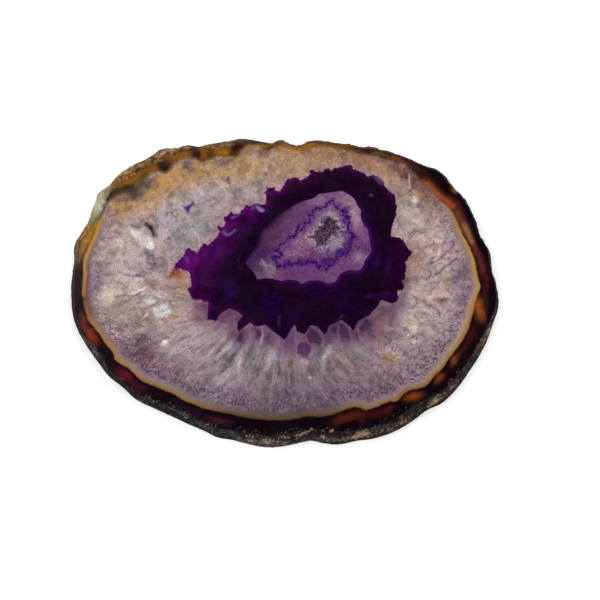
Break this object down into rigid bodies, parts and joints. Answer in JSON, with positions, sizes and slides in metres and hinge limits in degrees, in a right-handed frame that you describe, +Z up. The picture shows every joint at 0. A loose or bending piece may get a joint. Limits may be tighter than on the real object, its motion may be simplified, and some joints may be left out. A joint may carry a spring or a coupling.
{
  "type": "agate slice",
  "caption": "Flat polished slice of a purple-dyed agate nodule with a banded, crystal-lined centre and a rough natural rind left round its edge.",
  "frame": {"origin": "middle of the slice's bounding box, on the surface it lies on", "axes": "+X along the slice's length, towards the end with the ochre band; +Y across it; +Z up through the polished face"},
  "size_m": [0.1242, 0.0919, 0.006],
  "materials": {
    "polished_agate": "both sawn faces polished, edge left as rough natural rind"
  },
  "bodies": {
    "root": {"agate_slice": "polished_agate"}
  },
  "joints": []
}
